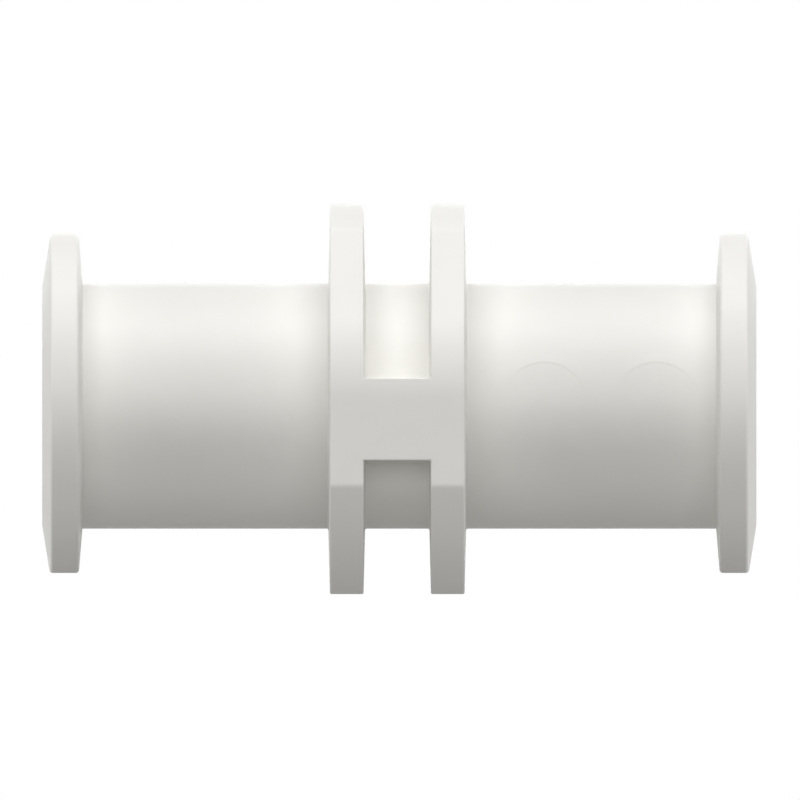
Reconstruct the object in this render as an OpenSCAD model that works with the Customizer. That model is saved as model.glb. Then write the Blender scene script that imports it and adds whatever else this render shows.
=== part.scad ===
// Push fit coupling for two plastic pipes, end to end.
// X runs along the pipes, Z is up and -Y is the front, where the round pads are.
// The origin is on the pipe axis, half way between the two end faces.
// Each end holds the same stack: two seals, a washer, a cam ring, a collet and a snap-in cap.

/* [Overall] */
// Length from one end face to the other
overall_len = 70; // [64:0.5:90]
// Wall of the tube around the seal chamber
tube_wall = 1.65; // [1.3:0.05:3]

/* [Pipe sockets] */
// Outside diameter of the pipe that pushes in
pipe_d = 16; // [12:0.5:28]
// Gap all round between the pipe and its socket
pipe_clearance = 0.1; // [0.05:0.05:0.25]
// Height of the ledge that stops the pipe
pipe_stop_step = 2.1; // [1:0.1:3]
// Length of the narrow waterway between the two pipe stops
waterway_len = 8; // [4:0.5:14]

/* [Flanges] */
// Height of each middle flange above the tube
flange_rise = 7.84; // [6:0.1:12]
// Height of the flanges' front and back flats above the tube
flange_front_rise = 6.23; // [4:0.1:7]
// Height of the flanges' bottom flat above the tube
flange_foot_rise = 6.41; // [5:0.1:7.5]
// Thickness of a flange at its rim
flange_t = 3.3; // [2.5:0.1:5]
// Gap between the two flanges at their rims
groove_w = 6.6; // [5:0.1:10]
// How much each face of a flange leans out from rim to root
flange_draft = 0.15; // [0:0.05:0.3]
// Place of the flange pair along the tube
flange_shift = -0.2; // [-1:0.1:1]
// Lean of the slope above each front and back flat, from the flat's own direction
shoulder_angle = 35; // [28:1:45]
// Radius that blends the flat into the slope
shoulder_r = 13; // [8:0.5:14]
// Height above the axis where that blend starts
shoulder_start = 0.9; // [0:0.1:2]

/* [Bridges] */
// Top edge of the bridges between the flanges, above the axis
bridge_top = 2.7; // [1:0.1:5]
// Bottom edge of the bridges, below the axis
bridge_bottom = 5.3; // [3:0.1:7]

/* [Name pads] */
// Radius of each bare round pad
pad_r = 4.1; // [3:0.1:5]
// How far a pad stands out of the tube
pad_relief = 0.1; // [0.05:0.01:0.3]
// Distance from the end face to the outer pad's centre
pad_from_end = 9.8; // [8.5:0.1:12]
// Distance between the two pads' centres
pad_pitch = 11; // [9:0.1:13]

/* [End caps] */
// Height of the collar above the tube
collar_rise = 4.97; // [3.5:0.1:7]
// Height of the collar's bottom flat above the tube
collar_foot_rise = 4.34; // [3:0.1:5]
// How far the collar's outer face falls back to its rim
collar_crown = 0.85; // [0.3:0.05:1.2]
// How far the collar's inner face leans back to its rim
collar_lean = 0.4; // [0:0.05:0.6]
// Width of the flat ring around the mouth
mouth_land = 0.6; // [0.5:0.05:1.5]
// Edge break on the rims
rim_edge = 0.22; // [0.1:0.02:0.4]
// Thickness of the cap behind its mouth
cap_web = 0.7; // [0.6:0.1:2]
// Length of the spigot that goes into the tube
spigot_len = 4.5; // [4:0.1:6]

/* [Collets] */
// Wall of the collet's stem
collet_wall = 0.8; // [0.7:0.05:1.2]
// How much wider the collet's bore is than the socket, in radius
collet_ease = 0.2; // [0.2:0.05:0.4]
// How far the gripping noses stand out of the stem
nose_rise = 0.35; // [0.3:0.05:0.6]
// Straight length of a nose
nose_len = 0.8; // [0.6:0.1:1.2]
// Length of the nose's slope
nose_slope = 0.7; // [0.5:0.1:1]
// Radial width of the head's rim beyond the stem
head_rise = 1.65; // [1.2:0.05:2.5]
// Thickness of the head
head_t = 1.6; // [1.2:0.1:2.2]
// How far the head lies below the end face
head_inset = 0.1; // [0.05:0.05:0.5]
// How far the collet is pushed in to let the pipe go
release_travel = 1.5; // [0.8:0.1:2]
// Number of spring fingers
fingers = 6; // [4:1:8]
// Width of the slots between the fingers
finger_slot = 0.9; // [0.6:0.1:1.2]

/* [Teeth] */
// Thickness of a steel tooth
tooth_t = 0.4; // [0.3:0.05:0.5]
// Width of a steel tooth
tooth_w = 3.2; // [2:0.1:4]
// Height of a steel tooth
tooth_h = 0.95; // [0.8:0.05:1]
// How far the teeth's tips stand clear of the socket's radius
tooth_ease = 0.02; // [0.01:0.01:0.04]
// Lean of the teeth towards the middle of the fitting
tooth_lean = 18; // [10:1:20]

/* [Seals and rings] */
// Thickness of the O-rings' section
o_ring_d = 2.2; // [1.6:0.1:3]
// Thickness of the spacer between the O-rings
spacer_t = 1.2; // [0.8:0.1:2]
// Thickness of the loose washer that the collet bears on
washer_t = 1.2; // [0.8:0.1:2]
// Length of the cam ring that closes the fingers
cam_len = 3.9; // [3.7:0.1:5.5]
// Width of the split lock ring along the axis
lock_ring_w = 1.1; // [0.8:0.1:1.4]
// Radial depth of the lock ring
lock_ring_h = 1; // [0.8:0.05:1.2]
// Opening in the lock ring
lock_ring_gap = 3; // [2:0.5:5]
// Distance from the tube's end to the lock ring's groove
lock_groove_inset = 2.3; // [1.5:0.1:2.5]

/* [Clearances] */
// Gap between neighbours in the stack
seat_gap = 0.05; // [0.03:0.01:0.1]
// Radial gap of the rings that sit in the chamber
ring_gap = 0.1; // [0.05:0.05:0.2]
// Radial running clearance of the collet in its cap
slide_gap = 0.08; // [0.05:0.01:0.1]
// Gap around the moving collet everywhere else
free_gap = 0.3; // [0.2:0.05:0.4]

/* [Hidden] */
$fn = 96;
eps = 0.01;
blend_overlap = 0.02;

// Radii, from the pipe outwards
socket_r = pipe_d / 2 + pipe_clearance;
waterway_r = socket_r - pipe_stop_step;
seal_gap = seat_gap / 2;
chamber_r = socket_r + o_ring_d + 2 * seal_gap;
tube_r = chamber_r + tube_wall;
ring_bore_r = socket_r + free_gap;
ring_outer_r = chamber_r - ring_gap;
tooth_tip_r = socket_r + tooth_ease;
collet_bore_r = socket_r + collet_ease;
stem_r = collet_bore_r + collet_wall;
nose_r = stem_r + nose_rise;
throat_r = stem_r + slide_gap;
head_r = stem_r + head_rise;
mouth_r = head_r + free_gap;
land_r = mouth_r + mouth_land;
lock_mid_r = chamber_r + seat_gap;
lock_in_r = lock_mid_r - lock_ring_h / 2;
lock_out_r = lock_mid_r + lock_ring_h / 2;

// Outer radii and flats
flange_r = tube_r + flange_rise;
flange_front = tube_r + flange_front_rise;
flange_foot = tube_r + flange_foot_rise;
collar_r = tube_r + collar_rise;
collar_foot = tube_r + collar_foot_rise;

// Places along the axis, from the end face inwards
end_x = overall_len / 2;
head_out_x = end_x - head_inset;
head_in_x = head_out_x - head_t;
mouth_floor_x = head_in_x - release_travel - seat_gap;
tube_end_x = mouth_floor_x - cap_web;
lock_groove_w = lock_ring_w + 2 * seat_gap;
lock_groove_x = tube_end_x - lock_groove_inset - lock_groove_w;
spigot_end_x = tube_end_x - spigot_len;
cam_out_x = spigot_end_x - seat_gap;
cam_in_x = cam_out_x - cam_len;
washer_out_x = cam_in_x - seat_gap;
washer_in_x = washer_out_x - washer_t;
outer_seal_x = washer_in_x - seat_gap - o_ring_d / 2;
spacer_out_x = outer_seal_x - o_ring_d / 2 - seat_gap;
spacer_in_x = spacer_out_x - spacer_t;
inner_seal_x = spacer_in_x - seat_gap - o_ring_d / 2;
chamber_x = inner_seal_x - o_ring_d / 2 - seat_gap;
stop_x = waterway_len / 2;
nose_x = washer_out_x + release_travel + free_gap;
nose_shoulder_x = nose_x + nose_len;
stem_x = nose_shoulder_x + nose_slope;
slot_end_x = mouth_floor_x - cap_web;

// ---- Shared shapes ----

// Turns an outline of [radius, x] points about the pipe axis
module lathe(points) {
    rotate([0, 90, 0]) rotate_extrude() polygon(points);
}

// A plain ring along the pipe axis
module ring(inner_r, outer_r, x0, x1) {
    lathe([[inner_r, x0], [outer_r, x0], [outer_r, x1], [inner_r, x1]]);
}

// A round rod along the pipe axis
module rod(r, x0, x1) {
    translate([x0, 0, 0]) rotate([0, 90, 0]) cylinder(r = r, h = x1 - x0);
}

// Everything lower than a flat at this depth below the axis
module below(depth, reach) {
    translate([-reach, -reach, -depth - reach]) cube([2 * reach, 2 * reach, reach]);
}

// The children as they are, or mirrored to the left end
module at_side(left) {
    mirror([left ? 1 : 0, 0, 0]) children();
}

// ---- Body ----

// One flange, turned: a disc with leaning faces and broken rim edges
module flange_disc(x0) {
    x1 = x0 + flange_t;
    lathe([
        [tube_r - tube_wall / 2, x0 - flange_draft],
        [tube_r - tube_wall / 2, x1 + flange_draft],
        [flange_r - rim_edge, x1],
        [flange_r, x1 - rim_edge],
        [flange_r, x0 + rim_edge],
        [flange_r - rim_edge, x0]
    ]);
}

// What is cut off one side of the flanges: the flat, the slope above it and their blend
module side_cut(reach) {
    blend_y = flange_front - shoulder_r;
    normal = [cos(shoulder_angle), sin(shoulder_angle)];
    tangent = [blend_y + shoulder_r * normal[0], shoulder_start + shoulder_r * normal[1]];
    kite_r = shoulder_r + 1;
    translate([-reach, -flange_front - reach, -reach])
        cube([2 * reach, reach, 2 * reach]);
    translate([-reach, -tangent[0], tangent[1]])
        rotate([-shoulder_angle, 0, 0])
            translate([0, -reach, -reach / 2])
                cube([2 * reach, reach, 2 * reach]);
    difference() {
        translate([-reach, 0, 0])
            rotate([90, 0, 90])
                linear_extrude(2 * reach)
                    polygon([
                        [-blend_y, shoulder_start],
                        [-blend_y - kite_r, shoulder_start],
                        [-blend_y - kite_r, shoulder_start + kite_r * tan(shoulder_angle / 2)],
                        [-blend_y - kite_r * normal[0], shoulder_start + kite_r * normal[1]]
                    ]);
        translate([-reach - 1, -blend_y, shoulder_start])
            rotate([0, 90, 0])
                cylinder(r = shoulder_r + blend_overlap, h = 2 * (reach + 1));
    }
}

// The two flanges with their front, back and bottom flats
module flanges() {
    reach = flange_r + 2;
    difference() {
        union() {
            flange_disc(flange_shift + groove_w / 2);
            flange_disc(flange_shift - groove_w / 2 - flange_t);
        }
        side_cut(reach);
        mirror([0, 1, 0]) side_cut(reach);
        below(flange_foot, reach);
    }
}

// The front and back bridges that tie the flanges together
module bridges() {
    bridge_len = groove_w + flange_t;
    for (side = [0, 1])
        mirror([0, side, 0])
            translate([flange_shift - bridge_len / 2, -flange_front, -bridge_bottom])
                cube([bridge_len, flange_front - chamber_r - tube_wall / 2, bridge_top + bridge_bottom]);
}

// The two bare round pads on the front of the right tube
module pads() {
    intersection() {
        rod(tube_r + pad_relief, 0, tube_end_x - eps);
        for (i = [0, 1])
            translate([end_x - pad_from_end - i * pad_pitch, 0, 0])
                rotate([90, 0, 0])
                    cylinder(r = pad_r, h = 2 * tube_r);
    }
}

// The hollow for one pipe and its seals
module socket_hollow() {
    rod(socket_r, stop_x, end_x);
    rod(chamber_r, chamber_x, end_x);
    rod(lock_out_r + seat_gap, lock_groove_x, lock_groove_x + lock_groove_w);
}

// The one-piece moulding
module body() {
    color([0.93, 0.93, 0.91])
    difference() {
        union() {
            rod(tube_r, -tube_end_x, tube_end_x);
            flanges();
            bridges();
            pads();
        }
        rod(waterway_r, -end_x, end_x);
        socket_hollow();
        at_side(true) socket_hollow();
    }
}

// ---- Seal stack ----

// An O-ring as it lies around a pipe
module o_ring(x) {
    color([0.06, 0.06, 0.06])
        translate([x, 0, 0])
            rotate([0, 90, 0])
                rotate_extrude()
                    translate([(socket_r + chamber_r) / 2, 0])
                        circle(d = o_ring_d);
}

// The ring that keeps the two O-rings apart
module seal_spacer() {
    color([0.85, 0.85, 0.84]) ring(ring_bore_r, ring_outer_r, spacer_in_x, spacer_out_x);
}

// The loose washer between the outer O-ring and the collet
module thrust_washer() {
    color([0.85, 0.85, 0.84]) ring(ring_bore_r, ring_outer_r, washer_in_x, washer_out_x);
}

// The ring whose taper closes the collet's fingers
module cam_ring() {
    taper_x = nose_shoulder_x + free_gap / 2;
    color([0.85, 0.85, 0.84])
        lathe([
            [nose_r + free_gap, cam_in_x],
            [ring_outer_r, cam_in_x],
            [ring_outer_r, cam_out_x],
            [throat_r, cam_out_x],
            [throat_r, taper_x + nose_slope + free_gap],
            [nose_r + free_gap, taper_x]
        ]);
}

// The split ring that snaps into the tube and holds the cap
module lock_ring() {
    color([0.72, 0.73, 0.75])
    difference() {
        ring(lock_in_r, lock_out_r, lock_groove_x + seat_gap, lock_groove_x + lock_groove_w - seat_gap);
        translate([lock_groove_x, -lock_ring_gap / 2, 0])
            cube([lock_groove_w, lock_ring_gap, lock_out_r + 1]);
    }
}

// ---- End cap ----

// The collar with its mouth, and the spigot that goes into the tube
module end_cap() {
    rim_in_x = tube_end_x + collar_lean;
    rim_out_x = end_x - collar_crown;
    groove_floor_r = lock_in_r - seat_gap;
    color([0.93, 0.93, 0.91])
    difference() {
        lathe([
            [throat_r, spigot_end_x],
            [ring_outer_r, spigot_end_x],
            [ring_outer_r, lock_groove_x],
            [groove_floor_r, lock_groove_x],
            [groove_floor_r, lock_groove_x + lock_groove_w],
            [ring_outer_r, lock_groove_x + lock_groove_w],
            [ring_outer_r, tube_end_x],
            [tube_r, tube_end_x],
            [collar_r - rim_edge, rim_in_x],
            [collar_r, rim_in_x + rim_edge],
            [collar_r, rim_out_x - rim_edge],
            [collar_r - rim_edge, rim_out_x],
            [land_r, end_x],
            [mouth_r, end_x],
            [mouth_r, mouth_floor_x],
            [throat_r, mouth_floor_x]
        ]);
        below(collar_foot, end_x + 1);
    }
}

// ---- Collet and teeth ----

// One steel tooth, leaning towards the middle of the fitting
module tooth() {
    tip_lift = tooth_t / 2 * sin(tooth_lean);
    translate([nose_x + nose_len / 2 + tooth_t / 2, 0, tooth_tip_r + tip_lift])
        rotate([0, tooth_lean, 0])
            translate([-tooth_t / 2, -tooth_w / 2, 0])
                cube([tooth_t, tooth_w, tooth_h]);
}

// All the teeth, one in the middle of each finger
module tooth_circle() {
    for (i = [0 : fingers - 1])
        rotate([i * 360 / fingers, 0, 0]) tooth();
}

// The sliding collet: head, stem and slotted spring fingers
module collet() {
    color([0.88, 0.89, 0.88])
    difference() {
        lathe([
            [collet_bore_r, nose_x],
            [nose_r, nose_x],
            [nose_r, nose_shoulder_x],
            [stem_r, stem_x],
            [stem_r, head_in_x],
            [head_r, head_in_x],
            [head_r, head_out_x - rim_edge],
            [head_r - rim_edge, head_out_x],
            [stem_r, head_out_x],
            [collet_bore_r, head_out_x - collet_wall]
        ]);
        for (i = [0 : fingers - 1])
            rotate([(i + 0.5) * 360 / fingers, 0, 0])
                translate([nose_x - eps, -finger_slot / 2, waterway_r])
                    cube([slot_end_x - nose_x, finger_slot, head_r - waterway_r]);
        tooth_circle();
    }
}

// The steel teeth, as separate blades
module collet_teeth() {
    color([0.72, 0.73, 0.75]) tooth_circle();
}

body();

at_side(true) o_ring(inner_seal_x);  // left_inner_o_ring
at_side(true) seal_spacer();  // left_seal_spacer
at_side(true) o_ring(outer_seal_x);  // left_outer_o_ring
at_side(true) thrust_washer();  // left_thrust_washer
at_side(true) cam_ring();  // left_cam_ring
at_side(true) lock_ring();  // left_lock_ring
at_side(true) end_cap();  // left_end_cap
at_side(true) collet();  // left_collet
at_side(true) collet_teeth();  // left_collet_teeth

at_side(false) o_ring(inner_seal_x);  // right_inner_o_ring
at_side(false) seal_spacer();  // right_seal_spacer
at_side(false) o_ring(outer_seal_x);  // right_outer_o_ring
at_side(false) thrust_washer();  // right_thrust_washer
at_side(false) cam_ring();  // right_cam_ring
at_side(false) lock_ring();  // right_lock_ring
at_side(false) end_cap();  // right_end_cap
at_side(false) collet();  // right_collet
at_side(false) collet_teeth();  // right_collet_teeth
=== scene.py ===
"""Studio model of a push fit coupling in off-white plastic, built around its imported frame.

Sizes are in metres, in the frame's own axes: X runs along the pipes, -Y is the front and Z is up.
Angles round the pipe axis start at the front and turn upwards: 0 is -Y, 90 is +Z, 180 is +Y.
"""
import logging
import math
from dataclasses import dataclass
from enum import Enum

import bmesh
import bpy
from mathutils import Matrix, Vector


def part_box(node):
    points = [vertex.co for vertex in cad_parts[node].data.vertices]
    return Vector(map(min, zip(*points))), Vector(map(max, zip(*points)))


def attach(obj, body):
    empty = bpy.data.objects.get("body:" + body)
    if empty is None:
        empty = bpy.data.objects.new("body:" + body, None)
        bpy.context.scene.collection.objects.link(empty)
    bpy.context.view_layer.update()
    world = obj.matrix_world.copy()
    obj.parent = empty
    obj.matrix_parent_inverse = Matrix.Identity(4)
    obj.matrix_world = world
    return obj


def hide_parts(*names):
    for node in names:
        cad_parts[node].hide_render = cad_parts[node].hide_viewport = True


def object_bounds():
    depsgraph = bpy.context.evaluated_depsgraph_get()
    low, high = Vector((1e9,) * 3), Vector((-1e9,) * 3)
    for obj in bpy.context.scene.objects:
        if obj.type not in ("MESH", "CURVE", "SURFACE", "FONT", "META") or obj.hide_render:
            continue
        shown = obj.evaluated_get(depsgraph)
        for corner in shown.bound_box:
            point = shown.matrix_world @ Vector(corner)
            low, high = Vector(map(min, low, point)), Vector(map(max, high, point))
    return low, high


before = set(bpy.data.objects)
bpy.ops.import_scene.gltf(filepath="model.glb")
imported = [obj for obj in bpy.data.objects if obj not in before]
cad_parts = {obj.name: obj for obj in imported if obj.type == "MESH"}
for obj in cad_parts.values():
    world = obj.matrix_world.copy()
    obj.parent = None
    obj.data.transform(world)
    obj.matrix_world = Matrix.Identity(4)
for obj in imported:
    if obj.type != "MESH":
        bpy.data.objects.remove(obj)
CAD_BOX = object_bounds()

LOG = logging.getLogger("coupling")
MM = 0.001
SHARP_DEG = 35.0

Point = tuple[float, float]


class Side(Enum):
    """The two ends of the fitting, with the sign that X has there."""

    LEFT = -1
    RIGHT = 1

    @property
    def word(self) -> str:
        """The side's name as the nodes have it."""
        return self.name.lower()


# ---- Outlines ----


@dataclass(frozen=True)
class Corner:
    """A corner of a turned outline: its place along X, its radius and how far it is rounded."""

    x: float
    r: float
    round_r: float = 0.0


def rounded(corners: list[Corner], steps: int = 4) -> list[Point]:
    """Rounds the corners of a closed outline.

    Args:
        corners: The outline's corners in order.
        steps: Number of chords in each rounding.

    Returns:
        The outline as (x, r) points, where each rounded corner gives steps + 1 points.
    """
    points: list[Point] = []
    count = len(corners)
    for i, corner in enumerate(corners):
        here = Vector((corner.x, corner.r))
        if corner.round_r <= 0:
            points.append((here.x, here.y))
            continue
        before = corners[i - 1]
        after = corners[(i + 1) % count]
        to_before = (Vector((before.x, before.r)) - here).normalized()
        to_after = (Vector((after.x, after.r)) - here).normalized()
        half = to_before.angle(to_after) / 2
        reach = corner.round_r / math.tan(half)
        centre = here + (to_before + to_after).normalized() * (corner.round_r / math.sin(half))
        first = here + to_before * reach - centre
        last = here + to_after * reach - centre
        turn = first.angle_signed(last)
        for step in range(steps + 1):
            angle = -turn * step / steps
            spoke = Matrix.Rotation(angle, 2) @ first
            points.append((centre.x + spoke.x, centre.y + spoke.y))
    return points


def on_circle(x: float, r: float, degrees: float) -> Vector:
    """A point at this place along X, this far from the pipe axis, at this angle round it."""
    angle = math.radians(degrees)
    return Vector((x, -r * math.cos(angle), r * math.sin(angle)))


def spread(start: float, end: float, count: int) -> list[float]:
    """Evenly spread numbers from start up to, and without, end."""
    return [start + (end - start) * i / count for i in range(count)]


def with_stops(start: float, count: int, stops: list[float]) -> list[float]:
    """Angles of one full turn that take in some exact ones.

    Args:
        start: The angle where the turn starts, in degrees.
        count: Number of evenly spread angles.
        stops: Angles that have to be there, within the turn.

    Returns:
        The sorted angles. Even ones close to a stop make way for it.
    """
    step = 360 / count
    clear = 0.4 * step
    even = [a for a in spread(start, start + 360, count) if all(abs(a - s) > clear for s in stops)]
    return sorted(even + stops)


# ---- Meshes ----


def keep_flats(piece: bpy.types.Object, sharp_deg: float) -> None:
    """Marks the edges that stay sharp, and shades the faces between them by their size."""
    piece.data.set_sharp_from_angle(angle=math.radians(sharp_deg))
    weighted = piece.modifiers.new("flat faces stay flat", "WEIGHTED_NORMAL")
    weighted.keep_sharp = True


def new_piece(name: str, bm: bmesh.types.BMesh, sharp_deg: float = SHARP_DEG) -> bpy.types.Object:
    """Turns a bmesh into a smooth-shaded object in the scene.

    Args:
        name: The piece's name.
        bm: The finished mesh, which is freed.
        sharp_deg: Edges that bend more than this stay sharp.

    Returns:
        The new object, at the origin.
    """
    bmesh.ops.recalc_face_normals(bm, faces=bm.faces)
    for face in bm.faces:
        face.smooth = True
    mesh = bpy.data.meshes.new(name)
    bm.to_mesh(mesh)
    bm.free()
    piece = bpy.data.objects.new(name, mesh)
    bpy.context.scene.collection.objects.link(piece)
    keep_flats(piece, sharp_deg)
    return piece


def revolve(outlines: list[list[Point]], angles: list[float], mirrored: float = 1) -> bmesh.types.BMesh:
    """Sweeps closed outlines round the pipe axis, one outline to each angle.

    Args:
        outlines: One closed (x, r) outline for each angle, all with as many points.
        angles: The angles round the axis, in degrees.
        mirrored: 1, or -1 to swap the two ends.

    Returns:
        A closed mesh.
    """
    bm = bmesh.new()
    rings = [
        [bm.verts.new(on_circle(x * mirrored, r, angle)) for x, r in outline]
        for outline, angle in zip(outlines, angles)
    ]
    for i, ring in enumerate(rings):
        after = rings[(i + 1) % len(rings)]
        for j in range(len(ring)):
            k = (j + 1) % len(ring)
            bm.faces.new((ring[j], ring[k], after[k], after[j]))
    return bm


def turned(name: str, corners: list[Corner], side: Side, segments: int = 160) -> bpy.types.Object:
    """Makes a turned ring.

    Args:
        name: The piece's name.
        corners: The closed outline of its section, for the right side.
        side: The end that it belongs to.
        segments: Number of steps round the axis.

    Returns:
        The new object.
    """
    angles = spread(0, 360, segments)
    return new_piece(name, revolve([rounded(corners)] * segments, angles, side.value))


def box_mesh(bm: bmesh.types.BMesh, low: Vector, high: Vector, placed: Matrix) -> None:
    """Adds a box to a mesh.

    Args:
        bm: The mesh.
        low: Lowest corner, before it is placed.
        high: Highest corner, before it is placed.
        placed: Where the box goes.
    """
    scale = Matrix.Diagonal((*(high - low), 1))
    shift = Matrix.Translation((low + high) / 2)
    bmesh.ops.create_cube(bm, size=1, matrix=placed @ shift @ scale)


def apply_modifiers(piece: bpy.types.Object) -> None:
    """Bakes a piece's modifiers into its mesh."""
    depsgraph = bpy.context.evaluated_depsgraph_get()
    mesh = bpy.data.meshes.new_from_object(piece.evaluated_get(depsgraph), depsgraph=depsgraph)
    old = piece.data
    piece.modifiers.clear()
    piece.data = mesh
    bpy.data.meshes.remove(old)


def cut(piece: bpy.types.Object, tool: bpy.types.Object) -> None:
    """Cuts a tool's shape out of a piece, and removes the tool."""
    piece.modifiers.clear()
    hole = piece.modifiers.new("cut", "BOOLEAN")
    hole.operation = "DIFFERENCE"
    hole.solver = "EXACT"
    hole.object = tool
    bpy.context.view_layer.update()
    apply_modifiers(piece)
    tool_mesh = tool.data
    bpy.data.objects.remove(tool)
    bpy.data.meshes.remove(tool_mesh)
    keep_flats(piece, SHARP_DEG)


# ---- Finishes ----


@dataclass(frozen=True)
class Finish:
    """A surface finish: one procedural material."""

    name: str
    slot: str
    colour: tuple[float, float, float]
    shade: tuple[float, float, float]
    roughness: float
    roughness_spread: float
    metallic: float = 0.0
    grain_mm: float = 0.12
    grain_height: float = 0.0015
    mottle_mm: float = 6.0
    wave_height: float = 0.004
    specular: float = 0.5
    noise_roughness: float = 0.55
    noise_middle: tuple[float, float] = (0.3, 0.7)
    colour_middle: tuple[float, float] = (0.35, 0.65)

    def build(self) -> bpy.types.Material:
        """Builds the material.

        Returns:
            The material, with colour, roughness and relief from noise at the finish's own scale.
        """
        made = bpy.data.materials.new(self.name)
        made.use_nodes = True
        tree = made.node_tree
        tree.nodes.clear()
        output = tree.nodes.new("ShaderNodeOutputMaterial")
        shader = tree.nodes.new("ShaderNodeBsdfPrincipled")
        place = tree.nodes.new("ShaderNodeTexCoord")
        tree.links.new(shader.outputs["BSDF"], output.inputs["Surface"])
        shader.inputs["Metallic"].default_value = self.metallic
        shader.inputs["Specular IOR Level"].default_value = self.specular

        mottle = self.noise(tree, place, self.mottle_mm, 3.0)
        grain = self.noise(tree, place, self.grain_mm, 2.0)
        colour = self.ramp(tree, mottle, self.shade, self.colour)
        tree.links.new(colour.outputs["Color"], shader.inputs["Base Color"])

        rough = tree.nodes.new("ShaderNodeMapRange")
        rough.inputs["From Min"].default_value = self.noise_middle[0]
        rough.inputs["From Max"].default_value = self.noise_middle[1]
        rough.inputs["To Min"].default_value = self.roughness - self.roughness_spread
        rough.inputs["To Max"].default_value = self.roughness + self.roughness_spread
        smears = self.noise(tree, place, self.mottle_mm / 5, 4.0)
        tree.links.new(smears.outputs["Fac"], rough.inputs["Value"])
        tree.links.new(rough.outputs["Result"], shader.inputs["Roughness"])

        wave = self.relief(tree, self.noise(tree, place, self.mottle_mm / 2, 1.0), self.wave_height, None)
        fine = self.relief(tree, grain, self.grain_height, wave)
        tree.links.new(fine.outputs["Normal"], shader.inputs["Normal"])
        return made

    def noise(
        self, tree: bpy.types.NodeTree, place: bpy.types.Node, size_mm: float, detail: float
    ) -> bpy.types.Node:
        """Adds a noise whose features are about this size.

        Args:
            tree: The material's nodes.
            place: The texture coordinate node.
            size_mm: Size of a feature, in millimetres.
            detail: Number of finer layers.

        Returns:
            The noise node.
        """
        node = tree.nodes.new("ShaderNodeTexNoise")
        node.inputs["Scale"].default_value = 1 / (size_mm * MM)
        node.inputs["Detail"].default_value = detail
        node.inputs["Roughness"].default_value = self.noise_roughness
        tree.links.new(place.outputs["Object"], node.inputs["Vector"])
        return node

    def ramp(
        self,
        tree: bpy.types.NodeTree,
        source: bpy.types.Node,
        low: tuple[float, float, float],
        high: tuple[float, float, float],
    ) -> bpy.types.Node:
        """Adds a ramp from one colour to another over a noise's middle values.

        Args:
            tree: The material's nodes.
            source: The noise.
            low: Colour at the noise's low values.
            high: Colour at its high values.

        Returns:
            The ramp node.
        """
        node = tree.nodes.new("ShaderNodeValToRGB")
        node.color_ramp.elements[0].position = self.colour_middle[0]
        node.color_ramp.elements[0].color = (*low, 1)
        node.color_ramp.elements[1].position = self.colour_middle[1]
        node.color_ramp.elements[1].color = (*high, 1)
        tree.links.new(source.outputs["Fac"], node.inputs["Fac"])
        return node

    def relief(
        self,
        tree: bpy.types.NodeTree,
        source: bpy.types.Node,
        height_mm: float,
        under: bpy.types.Node | None,
    ) -> bpy.types.Node:
        """Adds a bump.

        Args:
            tree: The material's nodes.
            source: The noise that gives the height.
            height_mm: Height of the relief, in millimetres.
            under: A bump that this one lies on, if any.

        Returns:
            The bump node.
        """
        node = tree.nodes.new("ShaderNodeBump")
        node.inputs["Strength"].default_value = 1
        node.inputs["Distance"].default_value = height_mm * MM
        tree.links.new(source.outputs["Fac"], node.inputs["Height"])
        if under is not None:
            tree.links.new(under.outputs["Normal"], node.inputs["Normal"])
        return node


MOULDING = Finish(
    "satin off-white moulding", "moulding", (0.905, 0.9, 0.868), (0.893, 0.886, 0.852), 0.55, 0.05
)
COLLET_PLASTIC = Finish(
    "satin light grey moulding", "collet", (0.80, 0.805, 0.79), (0.785, 0.79, 0.775), 0.45, 0.05
)
RING_PLASTIC = Finish(
    "natural moulded ring", "ring_plastic", (0.78, 0.78, 0.765), (0.76, 0.76, 0.745), 0.5, 0.06
)
SEAL_RUBBER = Finish(
    "greased black rubber", "seal", (0.022, 0.022, 0.023), (0.014, 0.014, 0.015), 0.32, 0.1,
    grain_mm=0.2, grain_height=0.003, mottle_mm=3.0
)
SPRING_STEEL = Finish(
    "stamped spring steel", "steel", (0.62, 0.63, 0.65), (0.54, 0.55, 0.57), 0.28, 0.08,
    metallic=1.0, grain_mm=0.08, grain_height=0.0008, mottle_mm=2.0
)


class FinishShop:
    """Builds each finish once and puts it on pieces."""

    def __init__(self) -> None:
        """Starts with no material made."""
        self.made: dict[str, bpy.types.Material] = {}

    def dress(self, piece: bpy.types.Object, finish: Finish, body: str, *nodes: str) -> bpy.types.Object:
        """Gives a piece its finish and its body, and hides the frame's nodes that it replaces.

        Args:
            piece: The piece.
            finish: Its finish.
            body: The body that it rides on.
            nodes: The frame's nodes that it replaces.

        Returns:
            The same piece.
        """
        if finish.name not in self.made:
            self.made[finish.name] = finish.build()
        piece.data.materials.clear()
        piece.data.materials.append(self.made[finish.name])
        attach(piece, body)
        if nodes:
            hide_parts(*nodes)
        LOG.info("%s: %d faces, rides on %s", piece.name, len(piece.data.polygons), body)
        return piece


# ---- The moulding ----


# A round mark's section: how far out as a share of its radius, and how high as a share of its relief.
PAD_SECTION = (
    (0.35, 0.0),
    (0.7, 0.0),
    (0.9, 0.0),
    (0.97, 0.0),
    (0.985, 0.02),
    (1.0, 0.75),
    (1.012, 1.0),
    (1.04, 0.94),
    (1.09, 0.7),
    (1.15, 0.36),
    (1.2, 0.1),
    (1.24, 0.0),
)


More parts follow.
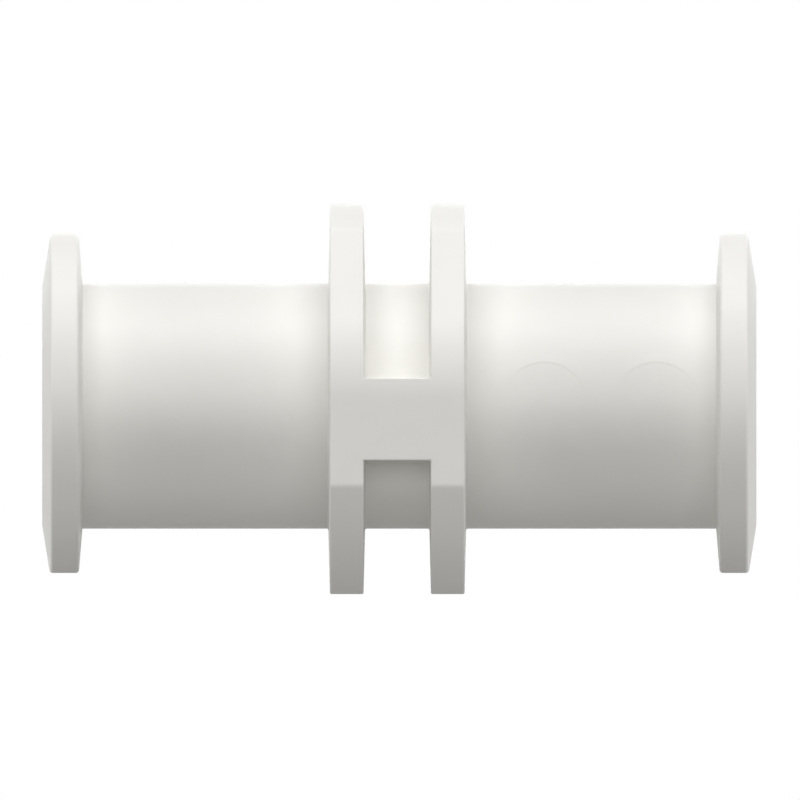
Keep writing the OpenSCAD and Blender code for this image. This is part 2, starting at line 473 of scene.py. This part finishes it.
@dataclass
class Housing:
    """The one-piece moulding: tube, two flanges, the bridges between them, sockets and round marks."""

    tube_r: float = 12.0 * MM
    flange_r: float = 19.84 * MM
    flange_front: float = 18.23 * MM
    flange_foot: float = 18.41 * MM
    flange_t: float = 3.3 * MM
    groove_w: float = 6.6 * MM
    draft: float = 0.15 * MM
    shift: float = -0.2 * MM
    shoulder_deg: float = 35.0
    shoulder_r: float = 13.0 * MM
    shoulder_start: float = 0.9 * MM
    bridge_top: float = 2.7 * MM
    bridge_bottom: float = 5.3 * MM
    socket_r: float = 8.1 * MM
    waterway_r: float = 6.0 * MM
    chamber_r: float = 10.35 * MM
    stop_x: float = 4.0 * MM
    chamber_x: float = 15.55 * MM
    lock_groove_x: float = 27.55 * MM
    lock_groove_w: float = 1.2 * MM
    lock_groove_r: float = 10.95 * MM
    edge: float = 0.24 * MM
    edge_steps: int = 4
    edge_bend_deg: float = 40.0
    weld: float = 0.002 * MM
    end_clear: float = 1.0 * MM
    chamber_lead: float = 0.15 * MM
    chamber_lead_len: float = 0.4 * MM
    pad_r: float = 4.3 * MM
    pad_skin: float = 0.006 * MM
    pad_relief: float = 0.03 * MM
    pad_from_end: float = 9.8 * MM
    pad_pitch: float = 11.0 * MM
    pad_turns: int = 144
    pad_faint: float = 0.04
    pad_fall: float = 1.6
    segments: int = 240

    def __post_init__(self) -> None:
        """Takes the places of the tube's end and of the end face from the frame."""
        self.tube_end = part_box("body")[1].x
        self.end_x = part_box("right_end_cap")[1].x

    def build(self, shop: FinishShop) -> None:
        """Builds the moulding and its two round marks.

        Args:
            shop: Where the finish comes from.
        """
        shop.dress(new_piece("moulded_body", self.shell()), MOULDING, "housing", "body")
        for i, name in enumerate(("outer_name_pad", "inner_name_pad")):
            centre_x = self.end_x - self.pad_from_end - i * self.pad_pitch
            shop.dress(new_piece(name, self.pad(centre_x)), MOULDING, "housing")

    def outline_r(self, degrees: float) -> float:
        """Radius of the flanges' outline at an angle.

        Args:
            degrees: The angle round the axis.

        Returns:
            The distance from the axis to the outline.
        """
        angle = math.radians(degrees)
        out, up = abs(math.cos(angle)), math.sin(angle)
        reach = self.flange_r
        if out > 1e-6:
            reach = min(reach, self.flange_front / out)
        if up < 0:
            reach = min(reach, self.flange_foot / -up)
        ray = Vector((out, up))
        centre = Vector((self.flange_front - self.shoulder_r, self.shoulder_start))
        lean = math.radians(self.shoulder_deg)
        normal = Vector((math.cos(lean), math.sin(lean)))
        tangent = centre + normal * self.shoulder_r
        if up > 0 and ray.dot(normal) > 0:
            reach = min(reach, (centre.dot(normal) + self.shoulder_r) / ray.dot(normal))
        elevation = math.atan2(up, out)
        if math.atan2(centre.y, self.flange_front) < elevation < math.atan2(tangent.y, tangent.x):
            along = ray.dot(centre)
            reach = min(reach, along + math.sqrt(along**2 - centre.length_squared + self.shoulder_r**2))
        return reach

    def key_angles(self) -> dict[str, float]:
        """The angles of the outline's corners and of the bridges, on the front."""
        lean = math.radians(self.shoulder_deg)
        centre = Vector((self.flange_front - self.shoulder_r, self.shoulder_start))
        support = centre.dot(Vector((math.cos(lean), math.sin(lean)))) + self.shoulder_r
        tangent = centre + Vector((math.cos(lean), math.sin(lean))) * self.shoulder_r
        angles = {
            "foot": math.asin(self.flange_foot / self.flange_r) * -1,
            "flat_low": -math.acos(self.flange_front / self.flange_r),
            "blend_low": math.atan2(centre.y, self.flange_front),
            "blend_high": math.atan2(tangent.y, tangent.x),
            "slope_top": lean + math.acos(support / self.flange_r),
            "rim_low": math.atan2(-self.bridge_bottom, self.flange_front),
            "rim_high": math.atan2(self.bridge_top, self.bridge_front(self.bridge_top)),
            "root_low": -math.asin(self.bridge_bottom / self.tube_r),
            "root_high": math.asin(self.bridge_top / self.tube_r),
        }
        return {name: math.degrees(a) for name, a in angles.items()}

    def bridge_front(self, height: float) -> float:
        """How far in front of the axis the bridges and flats lie at this height above it."""
        rise = height - self.shoulder_start
        if rise <= 0:
            return self.flange_front
        drop = self.shoulder_r - math.sqrt(self.shoulder_r**2 - rise**2)
        return self.flange_front - drop

    def shell(self) -> bmesh.types.BMesh:
        """Builds the moulding as one closed mesh.

        Returns:
            The mesh, with its rims and roots rounded.
        """
        keys = self.key_angles()
        front = list(keys.values())
        stops = sorted({round(a, 6) for a in front} | {round(180 - a, 6) for a in front})
        stops = [a if a > -90 else a + 360 for a in stops]
        angles = with_stops(-90, self.segments, stops)
        count = len(angles)
        bm = bmesh.new()

        def circle(x: float, r: float) -> list[bmesh.types.BMVert]:
            return [bm.verts.new(on_circle(x, r, a)) for a in angles]

        def rim(x: float) -> list[bmesh.types.BMVert]:
            return [bm.verts.new(on_circle(x, self.outline_r(a), a)) for a in angles]

        half_gap = self.groove_w / 2
        rims = [rim(self.shift + x) for x in (
            -half_gap - self.flange_t, -half_gap, half_gap, half_gap + self.flange_t)]
        roots = [circle(self.shift + x, self.tube_r) for x in (
            -half_gap - self.flange_t - self.draft, -half_gap + self.draft,
            half_gap - self.draft, half_gap + self.flange_t + self.draft)]
        ends = [circle(x, self.tube_r) for x in (-self.tube_end, self.tube_end)]

        def band(a: list[bmesh.types.BMVert], b: list[bmesh.types.BMVert], i: int) -> None:
            j = (i + 1) % count
            bm.faces.new((a[i], a[j], b[j], b[i]))

        bridges = []
        for low, high, root_low, root_high in (
            (keys["rim_low"], keys["rim_high"], keys["root_low"], keys["root_high"]),
            [180 - keys[name] for name in ("rim_high", "rim_low", "root_high", "root_low")],
        ):
            bridges.append([self.nearest(angles, a) for a in (low, high, root_low, root_high)])

        def in_rim(i: int) -> bool:
            return any(low <= i < high for low, high, _, _ in bridges)

        def in_root(i: int) -> bool:
            return any(low <= i < high for _, _, low, high in bridges)

        for i in range(count):
            band(ends[0], roots[0], i)
            band(roots[0], rims[0], i)
            if in_rim(i):
                self.flush_band(bm, rims, bridges, i)
            else:
                band(rims[0], rims[1], i)
                band(rims[2], rims[3], i)
            if not in_root(i):
                band(rims[1], roots[1], i)
                band(roots[1], roots[2], i)
                band(roots[2], rims[2], i)
            band(rims[3], roots[3], i)
            band(roots[3], ends[1], i)

        for rim_low, rim_high, root_low, root_high in bridges:
            for rim_i, root_i in ((rim_high, root_high), (rim_low, root_low)):
                step = 1 if root_i > rim_i else -1
                path = list(range(rim_i, root_i + step, step))
                for rim_ring, root_ring in ((rims[1], roots[1]), (rims[2], roots[2])):
                    bm.faces.new([rim_ring[k] for k in path] + [root_ring[root_i]])
                bm.faces.new((rims[1][rim_i], rims[2][rim_i], roots[2][root_i], roots[1][root_i]))

        self.hollow(bm, angles, ends)
        for vert in [v for v in bm.verts if not v.link_faces]:
            bm.verts.remove(vert)
        bmesh.ops.recalc_face_normals(bm, faces=bm.faces)
        self.round_edges(bm)
        return bm

    def nearest(self, angles: list[float], wanted: float) -> int:
        """The index of the angle that lies nearest to the wanted one."""
        return min(range(len(angles)), key=lambda i: abs(angles[i] - wanted))

    def flush_band(
        self,
        bm: bmesh.types.BMesh,
        rims: list[list[bmesh.types.BMVert]],
        bridges: list[list[int]],
        i: int,
    ) -> None:
        """Adds one strip of the face that runs over both flanges and the bridge.

        Args:
            bm: The mesh.
            rims: The four rims.
            bridges: Index ranges of the bridges.
            i: The strip's index.
        """
        j = i + 1
        edge_i = any(i == low for low, _, _, _ in bridges)
        edge_j = any(j == high for _, high, _, _ in bridges)
        loop = [rims[0][i]]
        loop += [rims[1][i], rims[2][i]] if edge_i else []
        loop += [rims[3][i], rims[3][j]]
        loop += [rims[2][j], rims[1][j]] if edge_j else []
        loop.append(rims[0][j])
        bm.faces.new(loop)

    def hollow(
        self, bm: bmesh.types.BMesh, angles: list[float], ends: list[list[bmesh.types.BMVert]]
    ) -> None:
        """Adds the waterway, sockets and chambers, from the left end to the right.

        Args:
            bm: The mesh.
            angles: The angles round the axis.
            ends: The outer edges of the tube's two ends.
        """
        half = [
            (self.tube_end, self.chamber_r + self.chamber_lead),
            (self.tube_end - self.chamber_lead_len, self.chamber_r),
            (self.lock_groove_x + self.lock_groove_w, self.chamber_r),
            (self.lock_groove_x + self.lock_groove_w, self.lock_groove_r),
            (self.lock_groove_x, self.lock_groove_r),
            (self.lock_groove_x, self.chamber_r),
            (self.chamber_x, self.chamber_r),
            (self.chamber_x, self.socket_r),
            (self.stop_x, self.socket_r),
            (self.stop_x, self.waterway_r),
        ]
        stations = [(-x, r) for x, r in half] + half[::-1]
        rings = [[bm.verts.new(on_circle(x, r, a)) for a in angles] for x, r in stations]
        rings = [ends[0], *rings, ends[1]]
        for ring, after in zip(rings, rings[1:]):
            for i in range(len(angles)):
                j = (i + 1) % len(angles)
                bm.faces.new((ring[i], after[i], after[j], ring[j]))

    def round_edges(self, bm: bmesh.types.BMesh) -> None:
        """Rounds every sharply bent outer edge, but for the tube's ends under the collars."""
        bend = math.radians(self.edge_bend_deg)
        outside_r = self.tube_r - 0.05 * MM
        inside_x = self.tube_end - self.end_clear
        picked = [
            e
            for e in bm.edges
            if len(e.link_faces) == 2
            and e.calc_face_angle(0) > bend
            and all(math.hypot(v.co.y, v.co.z) > outside_r for v in e.verts)
            and all(abs(v.co.x) < inside_x for v in e.verts)
        ]
        bmesh.ops.bevel(
            bm, geom=picked, offset=self.edge, offset_type="OFFSET", segments=self.edge_steps, profile=0.5,
            affect="EDGES", clamp_overlap=True, miter_inner="SHARP", miter_outer="SHARP",
        )
        bmesh.ops.remove_doubles(bm, verts=bm.verts[:], dist=self.weld)

    def pad(self, centre_x: float) -> bmesh.types.BMesh:
        """Builds one bare round mark: a hair-thin skin on the tube that dips inside a fine circular step.

        Args:
            centre_x: Its centre along the tube.

        Returns:
            A closed mesh.
        """
        bm = bmesh.new()
        count = self.pad_turns
        turns = [math.radians(a) for a in spread(0, 360, count)]

        def place(away: float, lift: float, turn: float) -> Vector:
            x, z = away * math.cos(turn), away * math.sin(turn)
            radius = self.tube_r + self.pad_skin + lift * self.pad_relief * self.pad_fade(turn)
            return Vector((centre_x + x, -math.sqrt(radius**2 - z**2), z))

        grid = [
            [bm.verts.new(place(self.pad_r * out, lift, t)) for t in turns]
            for out, lift in PAD_SECTION
        ]
        buried = -4 * self.pad_skin / self.pad_relief
        brim = self.pad_r * PAD_SECTION[-1][0]
        grid.append([bm.verts.new(place(brim, buried, t)) for t in turns])
        for ring, after in zip(grid, grid[1:]):
            for i in range(count):
                j = (i + 1) % count
                bm.faces.new((ring[i], ring[j], after[j], after[i]))
        top = bm.verts.new(place(0, 0, 0))
        bottom = bm.verts.new(place(0, buried, 0))
        for i in range(count):
            j = (i + 1) % count
            bm.faces.new((grid[0][i], grid[0][j], top))
            bm.faces.new((grid[-1][i], grid[-1][j], bottom))
        return bm

    def pad_fade(self, turn: float) -> float:
        """How deep a mark's step is at this angle round it: full at the top, almost none below."""
        return self.pad_faint + (1 - self.pad_faint) * max(0, math.sin(turn)) ** self.pad_fall


# ---- The ends ----


@dataclass
class EndCap:
    """A snap-in cap: collar with a bottom flat, mouth and spigot."""

    side: Side
    tube_r: float = 12.0 * MM
    collar_r: float = 16.97 * MM
    collar_foot: float = 16.34 * MM
    crown: float = 0.85 * MM
    lean: float = 0.4 * MM
    land_r: float = 11.65 * MM
    mouth_r: float = 11.05 * MM
    mouth_floor: float = 31.75 * MM
    throat_r: float = 9.18 * MM
    spigot_r: float = 10.25 * MM
    groove_x: float = 27.55 * MM
    groove_w: float = 1.2 * MM
    groove_r: float = 9.85 * MM
    edge: float = 0.33 * MM
    land_edge: float = 0.5 * MM
    fine_edge: float = 0.12 * MM
    segments: int = 240

    def build(self, shop: FinishShop) -> None:
        """Builds the cap.

        Args:
            shop: Where the finish comes from.
        """
        node = f"{self.side.word}_end_cap"
        low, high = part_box(node)
        near, far = sorted((abs(low.x), abs(high.x)))
        corner = math.degrees(math.acos(self.collar_foot / self.collar_r))
        angles = with_stops(-90 - 45, self.segments, [-90 - corner, -90 + corner])
        tube_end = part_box("body")[1].x
        outlines = [self.outline(self.rim_r(a), near, tube_end, far) for a in angles]
        piece = new_piece(f"{self.side.word}_cap", revolve(outlines, angles, self.side.value))
        shop.dress(piece, MOULDING, "housing", node)

    def rim_r(self, degrees: float) -> float:
        """Radius of the collar's rim at an angle, with its bottom flat."""
        down = -math.sin(math.radians(degrees))
        return min(self.collar_r, self.collar_foot / down) if down > 0.5 else self.collar_r

    def outline(self, rim_r: float, spigot_x: float, tube_end: float, end_x: float) -> list[Point]:
        """The cap's section at one angle.

        Args:
            rim_r: Radius of the rim there.
            spigot_x: Where the spigot starts.
            tube_end: Where the tube ends.
            end_x: The end face.

        Returns:
            The closed section.
        """
        rim_out_x = end_x - self.crown * (rim_r - self.land_r) / (self.collar_r - self.land_r)
        rim_in_x = tube_end + self.lean * (rim_r - self.tube_r) / (self.collar_r - self.tube_r)
        fine = self.fine_edge
        return rounded([
            Corner(spigot_x, self.throat_r, fine),
            Corner(spigot_x, self.spigot_r, fine),
            Corner(self.groove_x, self.spigot_r),
            Corner(self.groove_x, self.groove_r),
            Corner(self.groove_x + self.groove_w, self.groove_r),
            Corner(self.groove_x + self.groove_w, self.spigot_r),
            Corner(tube_end, self.spigot_r),
            Corner(tube_end, self.tube_r),
            Corner(rim_in_x, rim_r, self.edge),
            Corner(rim_out_x, rim_r, self.edge),
            Corner(end_x, self.land_r, self.land_edge),
            Corner(end_x, self.mouth_r, fine),
            Corner(self.mouth_floor, self.mouth_r, fine),
            Corner(self.mouth_floor, self.throat_r, fine),
        ])


@dataclass
class Gripper:
    """A sliding collet with spring fingers, and its steel teeth."""

    side: Side
    bore_r: float = 8.3 * MM
    stem_r: float = 9.1 * MM
    nose_r: float = 9.45 * MM
    head_r: float = 10.75 * MM
    head_t: float = 1.6 * MM
    nose_len: float = 0.8 * MM
    nose_slope: float = 0.7 * MM
    slot_w: float = 0.9 * MM
    slot_end: float = 31.05 * MM
    fingers: int = 6
    tooth_t: float = 0.4 * MM
    tooth_w: float = 3.2 * MM
    tooth_h: float = 0.95 * MM
    tooth_tip_r: float = 8.12 * MM
    tooth_lean_deg: float = 18.0
    tooth_edge: float = 0.06 * MM
    fine_edge: float = 0.12 * MM
    head_edge: float = 0.3 * MM
    back_edge: float = 0.2 * MM
    lead_edge: float = 0.4 * MM
    slot_past: float = 1.0 * MM

    def build(self, shop: FinishShop) -> None:
        """Builds the collet and its teeth.

        Args:
            shop: Where the finishes come from.
        """
        body = f"{self.side.word}_gripper"
        node = f"{self.side.word}_collet"
        low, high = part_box(node)
        near, far = sorted((abs(low.x), abs(high.x)))
        sleeve = self.sleeve(near, far)
        cut(sleeve, self.slot_tool(near))
        shop.dress(sleeve, COLLET_PLASTIC, body, node)
        shop.dress(self.teeth(near), SPRING_STEEL, body, f"{node}_teeth")

    def sleeve(self, nose_x: float, head_x: float) -> bpy.types.Object:
        """Turns the collet's head, stem and noses, before its slots are cut."""
        fine = self.fine_edge
        shoulder = nose_x + self.nose_len
        head_in = head_x - self.head_t
        lead = self.stem_r - self.bore_r
        corners = [
            Corner(nose_x, self.bore_r, fine),
            Corner(nose_x, self.nose_r, fine),
            Corner(shoulder, self.nose_r, fine),
            Corner(shoulder + self.nose_slope, self.stem_r, fine),
            Corner(head_in, self.stem_r, fine),
            Corner(head_in, self.head_r, self.back_edge),
            Corner(head_x, self.head_r, self.head_edge),
            Corner(head_x, self.bore_r + lead, self.head_edge),
            Corner(head_x - lead, self.bore_r, self.lead_edge),
        ]
        return turned(f"{self.side.word}_collet_sleeve", corners, self.side)

    def slot_tool(self, nose_x: float) -> bpy.types.Object:
        """Makes the boxes that cut the slots between the fingers."""
        bm = bmesh.new()
        start = nose_x - self.slot_past
        for i in range(self.fingers):
            turn = Matrix.Rotation(2 * math.pi * (i + 0.5) / self.fingers, 4, "X")
            ends = sorted((start * self.side.value, self.slot_end * self.side.value))
            low = Vector((ends[0], -self.slot_w / 2, self.bore_r - self.slot_past))
            high = Vector((ends[1], self.slot_w / 2, self.nose_r + self.slot_past))
            box_mesh(bm, low, high, turn)
        mesh = bpy.data.meshes.new("slot tool")
        bm.to_mesh(mesh)
        bm.free()
        tool = bpy.data.objects.new("slot tool", mesh)
        bpy.context.scene.collection.objects.link(tool)
        return tool

    def teeth(self, nose_x: float) -> bpy.types.Object:
        """Makes the six blades, leaned boxes with broken edges, as one piece."""
        bm = bmesh.new()
        lean = math.radians(self.tooth_lean_deg)
        lift = self.tooth_t / 2 * math.sin(lean)
        foot = Vector((nose_x + self.nose_len / 2 + self.tooth_t / 2, 0, self.tooth_tip_r + lift))
        mirror = Matrix.Diagonal((self.side.value, 1, 1, 1))
        for i in range(self.fingers):
            turn = Matrix.Rotation(2 * math.pi * i / self.fingers, 4, "X")
            placed = mirror @ turn @ Matrix.Translation(foot) @ Matrix.Rotation(lean, 4, "Y")
            low = Vector((-self.tooth_t / 2, -self.tooth_w / 2, 0))
            high = Vector((self.tooth_t / 2, self.tooth_w / 2, self.tooth_h))
            box_mesh(bm, low, high, placed)
        bmesh.ops.recalc_face_normals(bm, faces=bm.faces)
        bmesh.ops.bevel(
            bm, geom=bm.edges[:], offset=self.tooth_edge, offset_type="OFFSET", segments=2, profile=0.5,
            affect="EDGES", clamp_overlap=True,
        )
        return new_piece(f"{self.side.word}_grip_teeth", bm)


@dataclass
class SealStack:
    """What lies in a seal chamber: O-rings, spacer, washer, cam ring and lock ring."""

    side: Side
    bore_r: float = 8.4 * MM
    outer_r: float = 10.25 * MM
    seal_mid_r: float = 9.225 * MM
    seal_d: float = 2.2 * MM
    cam_wide_r: float = 9.75 * MM
    cam_throat_r: float = 9.18 * MM
    cam_taper_x: float = 25.3 * MM
    cam_taper_len: float = 1.0 * MM
    lock_in_r: float = 9.9 * MM
    lock_out_r: float = 10.9 * MM
    lock_gap: float = 3.0 * MM
    lock_turns: int = 120
    seal_flash: float = 0.03 * MM
    seal_steps: int = 36
    seal_turns: int = 144
    seal_sharp_deg: float = 60.0
    edge: float = 0.1 * MM

    def build(self, shop: FinishShop) -> None:
        """Builds the stack.

        Args:
            shop: Where the finishes come from.
        """
        word = self.side.word
        for place in ("inner", "outer"):
            node = f"{word}_{place}_o_ring"
            shop.dress(self.seal(f"{word}_{place}_seal", *self.span(node)), SEAL_RUBBER, "housing", node)
        node = f"{word}_seal_spacer"
        shop.dress(self.plain(f"{word}_spacer_ring", *self.span(node)), RING_PLASTIC, "housing", node)
        node = f"{word}_thrust_washer"
        washer = self.plain(f"{word}_washer_ring", *self.span(node))
        shop.dress(washer, RING_PLASTIC, f"{word}_washer", node)
        node = f"{word}_cam_ring"
        shop.dress(self.cam(f"{word}_cam", *self.span(node)), RING_PLASTIC, "housing", node)
        node = f"{word}_lock_ring"
        shop.dress(self.lock(f"{word}_split_ring", *self.span(node)), SPRING_STEEL, "housing", node)

    def span(self, node: str) -> tuple[float, float]:
        """Where a node starts and ends along X, as if on the right side."""
        low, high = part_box(node)
        near, far = sorted((abs(low.x), abs(high.x)))
        return near, far

    def seal(self, name: str, near: float, far: float) -> bpy.types.Object:
        """Makes an O-ring with the fine flash line that its mould leaves."""
        middle = (near + far) / 2
        outline = []
        for degrees in spread(0, 360, self.seal_steps):
            angle = math.radians(degrees)
            r = self.seal_d / 2 - (0 if degrees in (0, 180) else self.seal_flash)
            outline.append((middle + r * math.sin(angle), self.seal_mid_r + r * math.cos(angle)))
        angles = spread(0, 360, self.seal_turns)
        ring = revolve([outline] * len(angles), angles, self.side.value)
        return new_piece(name, ring, self.seal_sharp_deg)

    def plain(self, name: str, near: float, far: float) -> bpy.types.Object:
        """Makes a flat ring with broken edges."""
        corners = [
            Corner(near, self.bore_r, self.edge),
            Corner(near, self.outer_r, self.edge),
            Corner(far, self.outer_r, self.edge),
            Corner(far, self.bore_r, self.edge),
        ]
        return turned(name, corners, self.side)

    def cam(self, name: str, near: float, far: float) -> bpy.types.Object:
        """Makes the tapered ring that closes the fingers."""
        corners = [
            Corner(near, self.cam_wide_r, self.edge),
            Corner(near, self.outer_r, self.edge),
            Corner(far, self.outer_r, self.edge),
            Corner(far, self.cam_throat_r),
            Corner(self.cam_taper_x + self.cam_taper_len, self.cam_throat_r),
            Corner(self.cam_taper_x, self.cam_wide_r),
        ]
        return turned(name, corners, self.side)

    def lock(self, name: str, near: float, far: float) -> bpy.types.Object:
        """Makes the split ring, open at the top."""
        outline = rounded([
            Corner(near, self.lock_in_r, self.edge),
            Corner(near, self.lock_out_r, self.edge),
            Corner(far, self.lock_out_r, self.edge),
            Corner(far, self.lock_in_r, self.edge),
        ])
        gap_deg = math.degrees(math.asin(self.lock_gap / 2 / self.lock_in_r))
        count = self.lock_turns
        angles = [90 + gap_deg + (360 - 2 * gap_deg) * i / count for i in range(count + 1)]
        bm = bmesh.new()
        rings = [[bm.verts.new(on_circle(x * self.side.value, r, a)) for x, r in outline] for a in angles]
        for ring, after in zip(rings, rings[1:]):
            for j in range(len(outline)):
                k = (j + 1) % len(outline)
                bm.faces.new((ring[j], ring[k], after[k], after[j]))
        bm.faces.new(rings[0])
        bm.faces.new(rings[-1][::-1])
        return new_piece(name, bm)


# ---- The studio ----


@dataclass(frozen=True)
class Softbox:
    """A soft rectangular lamp that faces the object from a distance."""

    name: str
    azimuth_deg: float
    elevation_deg: float
    width: float
    height: float
    power: float
    colour: tuple[float, float, float] = (1.0, 1.0, 1.0)
    away: float = 0.9

    def build(self) -> None:
        """Adds the lamp, which lights but isn't seen itself."""
        data = bpy.data.lights.new(self.name, "AREA")
        data.shape = "RECTANGLE"
        data.size = self.width
        data.size_y = self.height
        data.energy = self.power
        data.color = self.colour
        lamp = bpy.data.objects.new(self.name, data)
        azimuth, elevation = math.radians(self.azimuth_deg), math.radians(self.elevation_deg)
        lamp.location = self.away * Vector((
            math.sin(azimuth) * math.cos(elevation),
            -math.cos(azimuth) * math.cos(elevation),
            math.sin(elevation),
        ))
        lamp.rotation_euler = (-lamp.location).to_track_quat("-Z", "Y").to_euler()
        lamp.visible_camera = False
        bpy.context.scene.collection.objects.link(lamp)


SOFTBOXES = (
    Softbox("top softbox", 0, 75.5, 0.9, 0.46, 5.92),
    Softbox("front softbox", 0, 8, 0.9, 0.24, 2.4, (1.0, 0.985, 0.97)),
    Softbox("back softbox", 180, 12, 0.9, 0.34, 2.1),
    Softbox("left softbox", -90, 6, 0.6, 0.3, 2.45),
    Softbox("right softbox", 90, 6, 0.6, 0.3, 2.45),
)


@dataclass
class Studio:
    """Pale floor, soft lamps and a level view straight at the front."""

    camera_away: float = 1.0
    view_width: float = 78.4 * MM
    camera_x: float = 0.07 * MM
    camera_z: float = 0.61 * MM
    camera_reach: float = 20.0
    floor_size: float = 6.0
    floor_gap: float = 0.02 * MM
    floor_white: float = 0.80
    floor_shade: float = 0.26
    floor_grey: float = 0.85
    glow: tuple[float, float, float] = (0.245, 0.243, 0.238)
    sky: tuple[float, float, float] = (0.136, 0.136, 0.136)

    def build(self) -> None:
        """Builds the floor, the lamps, the background and the camera."""
        self.floor()
        for softbox in SOFTBOXES:
            softbox.build()
        self.background()
        self.camera()
        bpy.context.scene.view_settings.view_transform = "Standard"

    def seen(self, tree: bpy.types.NodeTree) -> bpy.types.NodeSocket:
        """Adds nodes that give 1 for camera, glossy and transmission rays, and 0 for the rest."""
        path = tree.nodes.new("ShaderNodeLightPath")
        total = path.outputs["Is Camera Ray"]
        for ray in ("Is Glossy Ray", "Is Transmission Ray"):
            most = tree.nodes.new("ShaderNodeMath")
            most.operation = "MAXIMUM"
            tree.links.new(total, most.inputs[0])
            tree.links.new(path.outputs[ray], most.inputs[1])
            total = most.outputs[0]
        return total

    def blend(
        self,
        tree: bpy.types.NodeTree,
        fac: bpy.types.NodeSocket | float,
        low: bpy.types.Node,
        high: bpy.types.Node,
    ) -> bpy.types.Node:
        """Adds a mix of two shaders.

        Args:
            tree: The nodes.
            fac: The mix, as a number or a socket.
            low: The shader at 0.
            high: The shader at 1.

        Returns:
            The mix node.
        """
        node = tree.nodes.new("ShaderNodeMixShader")
        if isinstance(fac, float):
            node.inputs["Fac"].default_value = fac
        else:
            tree.links.new(fac, node.inputs["Fac"])
        tree.links.new(low.outputs[0], node.inputs[1])
        tree.links.new(high.outputs[0], node.inputs[2])
        return node

    def background(self) -> None:
        """White where the background is seen, and a weak grey sky as light."""
        world = bpy.data.worlds.new("studio")
        bpy.context.scene.world = world
        world.use_nodes = True
        tree = world.node_tree
        tree.nodes.clear()
        output = tree.nodes.new("ShaderNodeOutputWorld")
        light = tree.nodes.new("ShaderNodeBackground")
        light.inputs["Color"].default_value = (*self.sky, 1)
        white = tree.nodes.new("ShaderNodeBackground")
        white.inputs["Color"].default_value = (1, 1, 1, 1)
        mix = self.blend(tree, self.seen(tree), light, white)
        tree.links.new(mix.outputs[0], output.inputs["Surface"])

    def floor(self) -> None:
        """Adds the pale floor just under the flanges' flats."""
        bm = bmesh.new()
        half = self.floor_size / 2
        level = CAD_BOX[0].z - self.floor_gap
        corners = [(-half, -half), (half, -half), (half, half), (-half, half)]
        bm.faces.new([bm.verts.new((x, y, level)) for x, y in corners])
        mesh = bpy.data.meshes.new("floor")
        bm.to_mesh(mesh)
        bm.free()
        floor = bpy.data.objects.new("floor", mesh)
        bpy.context.scene.collection.objects.link(floor)
        mesh.materials.append(self.floor_paint())

    def floor_paint(self) -> bpy.types.Material:
        """The floor's paint: a dim glow as light, white with a soft shadow to the eye, clear from below."""
        paint = bpy.data.materials.new("floor paint")
        paint.use_nodes = True
        tree = paint.node_tree
        tree.nodes.clear()
        output = tree.nodes.new("ShaderNodeOutputMaterial")
        glow = tree.nodes.new("ShaderNodeEmission")
        glow.inputs["Color"].default_value = (*self.glow, 1)
        shaded = tree.nodes.new("ShaderNodeBsdfDiffuse")
        shaded.inputs["Color"].default_value = (*[self.floor_grey] * 3, 1)
        white = tree.nodes.new("ShaderNodeEmission")
        white.inputs["Color"].default_value = (1, 1, 1, 1)
        white.inputs["Strength"].default_value = self.floor_white / (1 - self.floor_shade)
        paint_seen = self.blend(tree, self.floor_shade, white, shaded)
        mix = self.blend(tree, self.seen(tree), glow, paint_seen)
        clear = tree.nodes.new("ShaderNodeBsdfTransparent")
        side = tree.nodes.new("ShaderNodeNewGeometry")
        path = tree.nodes.new("ShaderNodeLightPath")
        below = tree.nodes.new("ShaderNodeMath")
        below.operation = "MULTIPLY"
        tree.links.new(side.outputs["Backfacing"], below.inputs[0])
        tree.links.new(path.outputs["Is Camera Ray"], below.inputs[1])
        whole = self.blend(tree, below.outputs[0], mix, clear)
        tree.links.new(whole.outputs[0], output.inputs["Surface"])
        return paint

    def camera(self) -> None:
        """Adds the camera, level with the pipe axis and without perspective."""
        data = bpy.data.cameras.new("front view")
        data.type = "ORTHO"
        data.ortho_scale = self.view_width
        data.clip_end = self.camera_reach
        camera = bpy.data.objects.new("front view", data)
        camera.location = (self.camera_x, -self.camera_away, self.camera_z)
        camera.rotation_euler = (math.pi / 2, 0, 0)
        bpy.context.scene.collection.objects.link(camera)
        bpy.context.scene.camera = camera


def main() -> None:
    """Builds the coupling and its studio, one assembly after another."""
    logging.basicConfig(level=logging.INFO, format="%(name)s: %(message)s")
    Studio().build()
    shop = FinishShop()
    Housing().build(shop)
    for side in Side:
        SealStack(side).build(shop)
        Gripper(side).build(shop)
        EndCap(side).build(shop)


if __name__ == "__main__":
    main()
